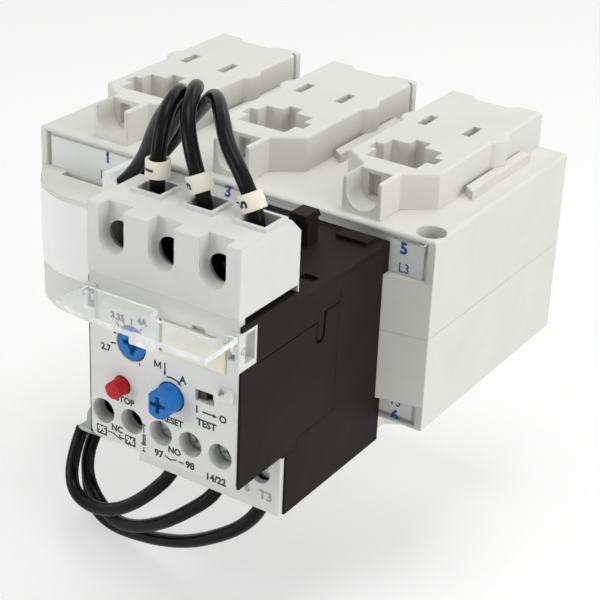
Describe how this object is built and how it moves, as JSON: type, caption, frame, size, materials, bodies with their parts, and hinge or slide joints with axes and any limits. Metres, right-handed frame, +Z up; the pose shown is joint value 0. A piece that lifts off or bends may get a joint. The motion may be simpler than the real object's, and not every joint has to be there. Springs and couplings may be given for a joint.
{
  "type": "thermal overload relay",
  "caption": "Thermal overload relay with setting dial and buttons, mounted on a three-pole current transformer housing and wired with short leads.",
  "frame": {"origin": "middle of the rear mounting face of the transformer housing, on its parting plane", "axes": "+X to the right seen from the front, +Y to the rear (out of the mounting face), +Z up through the poles"},
  "size_m": [0.13, 0.1565, 0.1497],
  "materials": {
    "bimetal": "rolled strip",
    "black_plastic": "fine moulded texture",
    "blue_plastic": "smooth",
    "brass": "machined",
    "clear_plastic": "clear moulded plastic",
    "copper": "bare copper",
    "core_iron": "laminated",
    "cream_plastic": "smooth",
    "dark_plastic": "smooth",
    "fascia_plastic": "satin moulded",
    "housing_plastic": "fine moulded texture",
    "lead_insulation": "pvc insulation",
    "red_plastic": "smooth",
    "sleeve_plastic": "flexible sleeve",
    "steel": "zinc plated",
    "white_plastic": "smooth",
    "winding": "enamelled wire"
  },
  "bodies": {
    "relay": {"aux_terminal_screws": "steel", "bimetal_strip_left": "bimetal", "bimetal_strip_middle": "bimetal", "bimetal_strip_right": "bimetal", "conductor_bar_left": "copper", "conductor_bar_middle": "copper", "conductor_bar_right": "copper", "front_fascia": "fascia_plastic", "heater_wraps": "winding", "housing_lower": "housing_plastic", "housing_screw": "steel", "housing_upper": "housing_plastic", "label_plate": "cream_plastic", "latch_hook": "black_plastic", "lead_bushing_upper": "white_plastic", "lead_marker_left": "cream_plastic", "lead_marker_middle": "cream_plastic", "lead_marker_right": "cream_plastic", "lead_sleeve_lower": "sleeve_plastic", "lever_pin": "steel", "lower_lead_left": "lead_insulation", "lower_lead_middle": "lead_insulation", "lower_lead_right": "lead_insulation", "lower_terminal_clamps": "brass", "lower_terminal_panel": "fascia_plastic", "lower_terminal_screws": "steel", "marking_strip_lower": "white_plastic", "marking_strip_upper": "white_plastic", "pole_clamps_lower": "brass", "pole_clamps_upper": "brass", "pole_screws_lower": "steel", "pole_screws_upper": "steel", "rating_label": "white_plastic", "relay_base": "black_plastic", "relay_body": "black_plastic", "terminal_cap": "fascia_plastic", "transformer_core_left": "core_iron", "transformer_core_middle": "core_iron", "transformer_core_right": "core_iron", "transformer_winding_left": "winding", "transformer_winding_middle": "winding", "transformer_winding_right": "winding", "upper_lead_left": "lead_insulation", "upper_lead_middle": "lead_insulation", "upper_lead_right": "lead_insulation", "upper_terminal_clamps": "brass", "upper_terminal_screws": "steel"},
    "cover": {"transparent_cover": "clear_plastic"},
    "dial": {"current_dial": "blue_plastic"},
    "stop": {"stop_button": "red_plastic", "stop_spring": "steel"},
    "reset": {"reset_plunger": "blue_plastic", "reset_spring": "steel"},
    "knob": {"reset_knob": "blue_plastic"},
    "test": {"test_slider": "dark_plastic"},
    "trip": {"trip_bar": "dark_plastic"},
    "lever": {"contact_lever": "dark_plastic"}
  },
  "joints": [
    {"name": "cover_hinge", "type": "hinge", "parent": "relay", "child": "cover", "pos_m": [0.0294, -0.142, 0.0207], "axis": [1, 0, 0], "range_deg": [0, 90]},
    {"name": "dial_turn", "type": "hinge", "parent": "relay", "child": "dial", "pos_m": [0.0202, -0.143, 0.0124], "axis": [0, 1, 0], "range_deg": [-30, 240]},
    {"name": "stop_press", "type": "slide", "parent": "relay", "child": "stop", "axis": [0, 1, 0], "range_m": [0, 0.002], "stiffness_N_per_m": 400, "springref_m": -0.001},
    {"name": "reset_press", "type": "slide", "parent": "relay", "child": "reset", "axis": [0, 1, 0], "range_m": [0, 0.002], "stiffness_N_per_m": 400, "springref_m": -0.001},
    {"name": "reset_mode_turn", "type": "hinge", "parent": "reset", "child": "knob", "pos_m": [0.0321, -0.143, 0.0024], "axis": [0, 1, 0], "range_deg": [0, 90]},
    {"name": "test_slide", "type": "slide", "parent": "relay", "child": "test", "axis": [1, 0, 0], "range_m": [0, 0.0028]},
    {"name": "trip_slide", "type": "slide", "parent": "relay", "child": "trip", "axis": [1, 0, 0], "range_m": [0, 0.0015], "stiffness_N_per_m": 100, "springref_m": -0.001},
    {"name": "lever_tip", "type": "hinge", "parent": "relay", "child": "lever", "pos_m": [0.0464, -0.143, 0.0055], "axis": [0, 1, 0], "range_deg": [0, 8]}
  ],
  "couplings": [
    {"joint": "lever_tip", "follows": "trip_slide", "rad_per_m": 90}
  ]
}
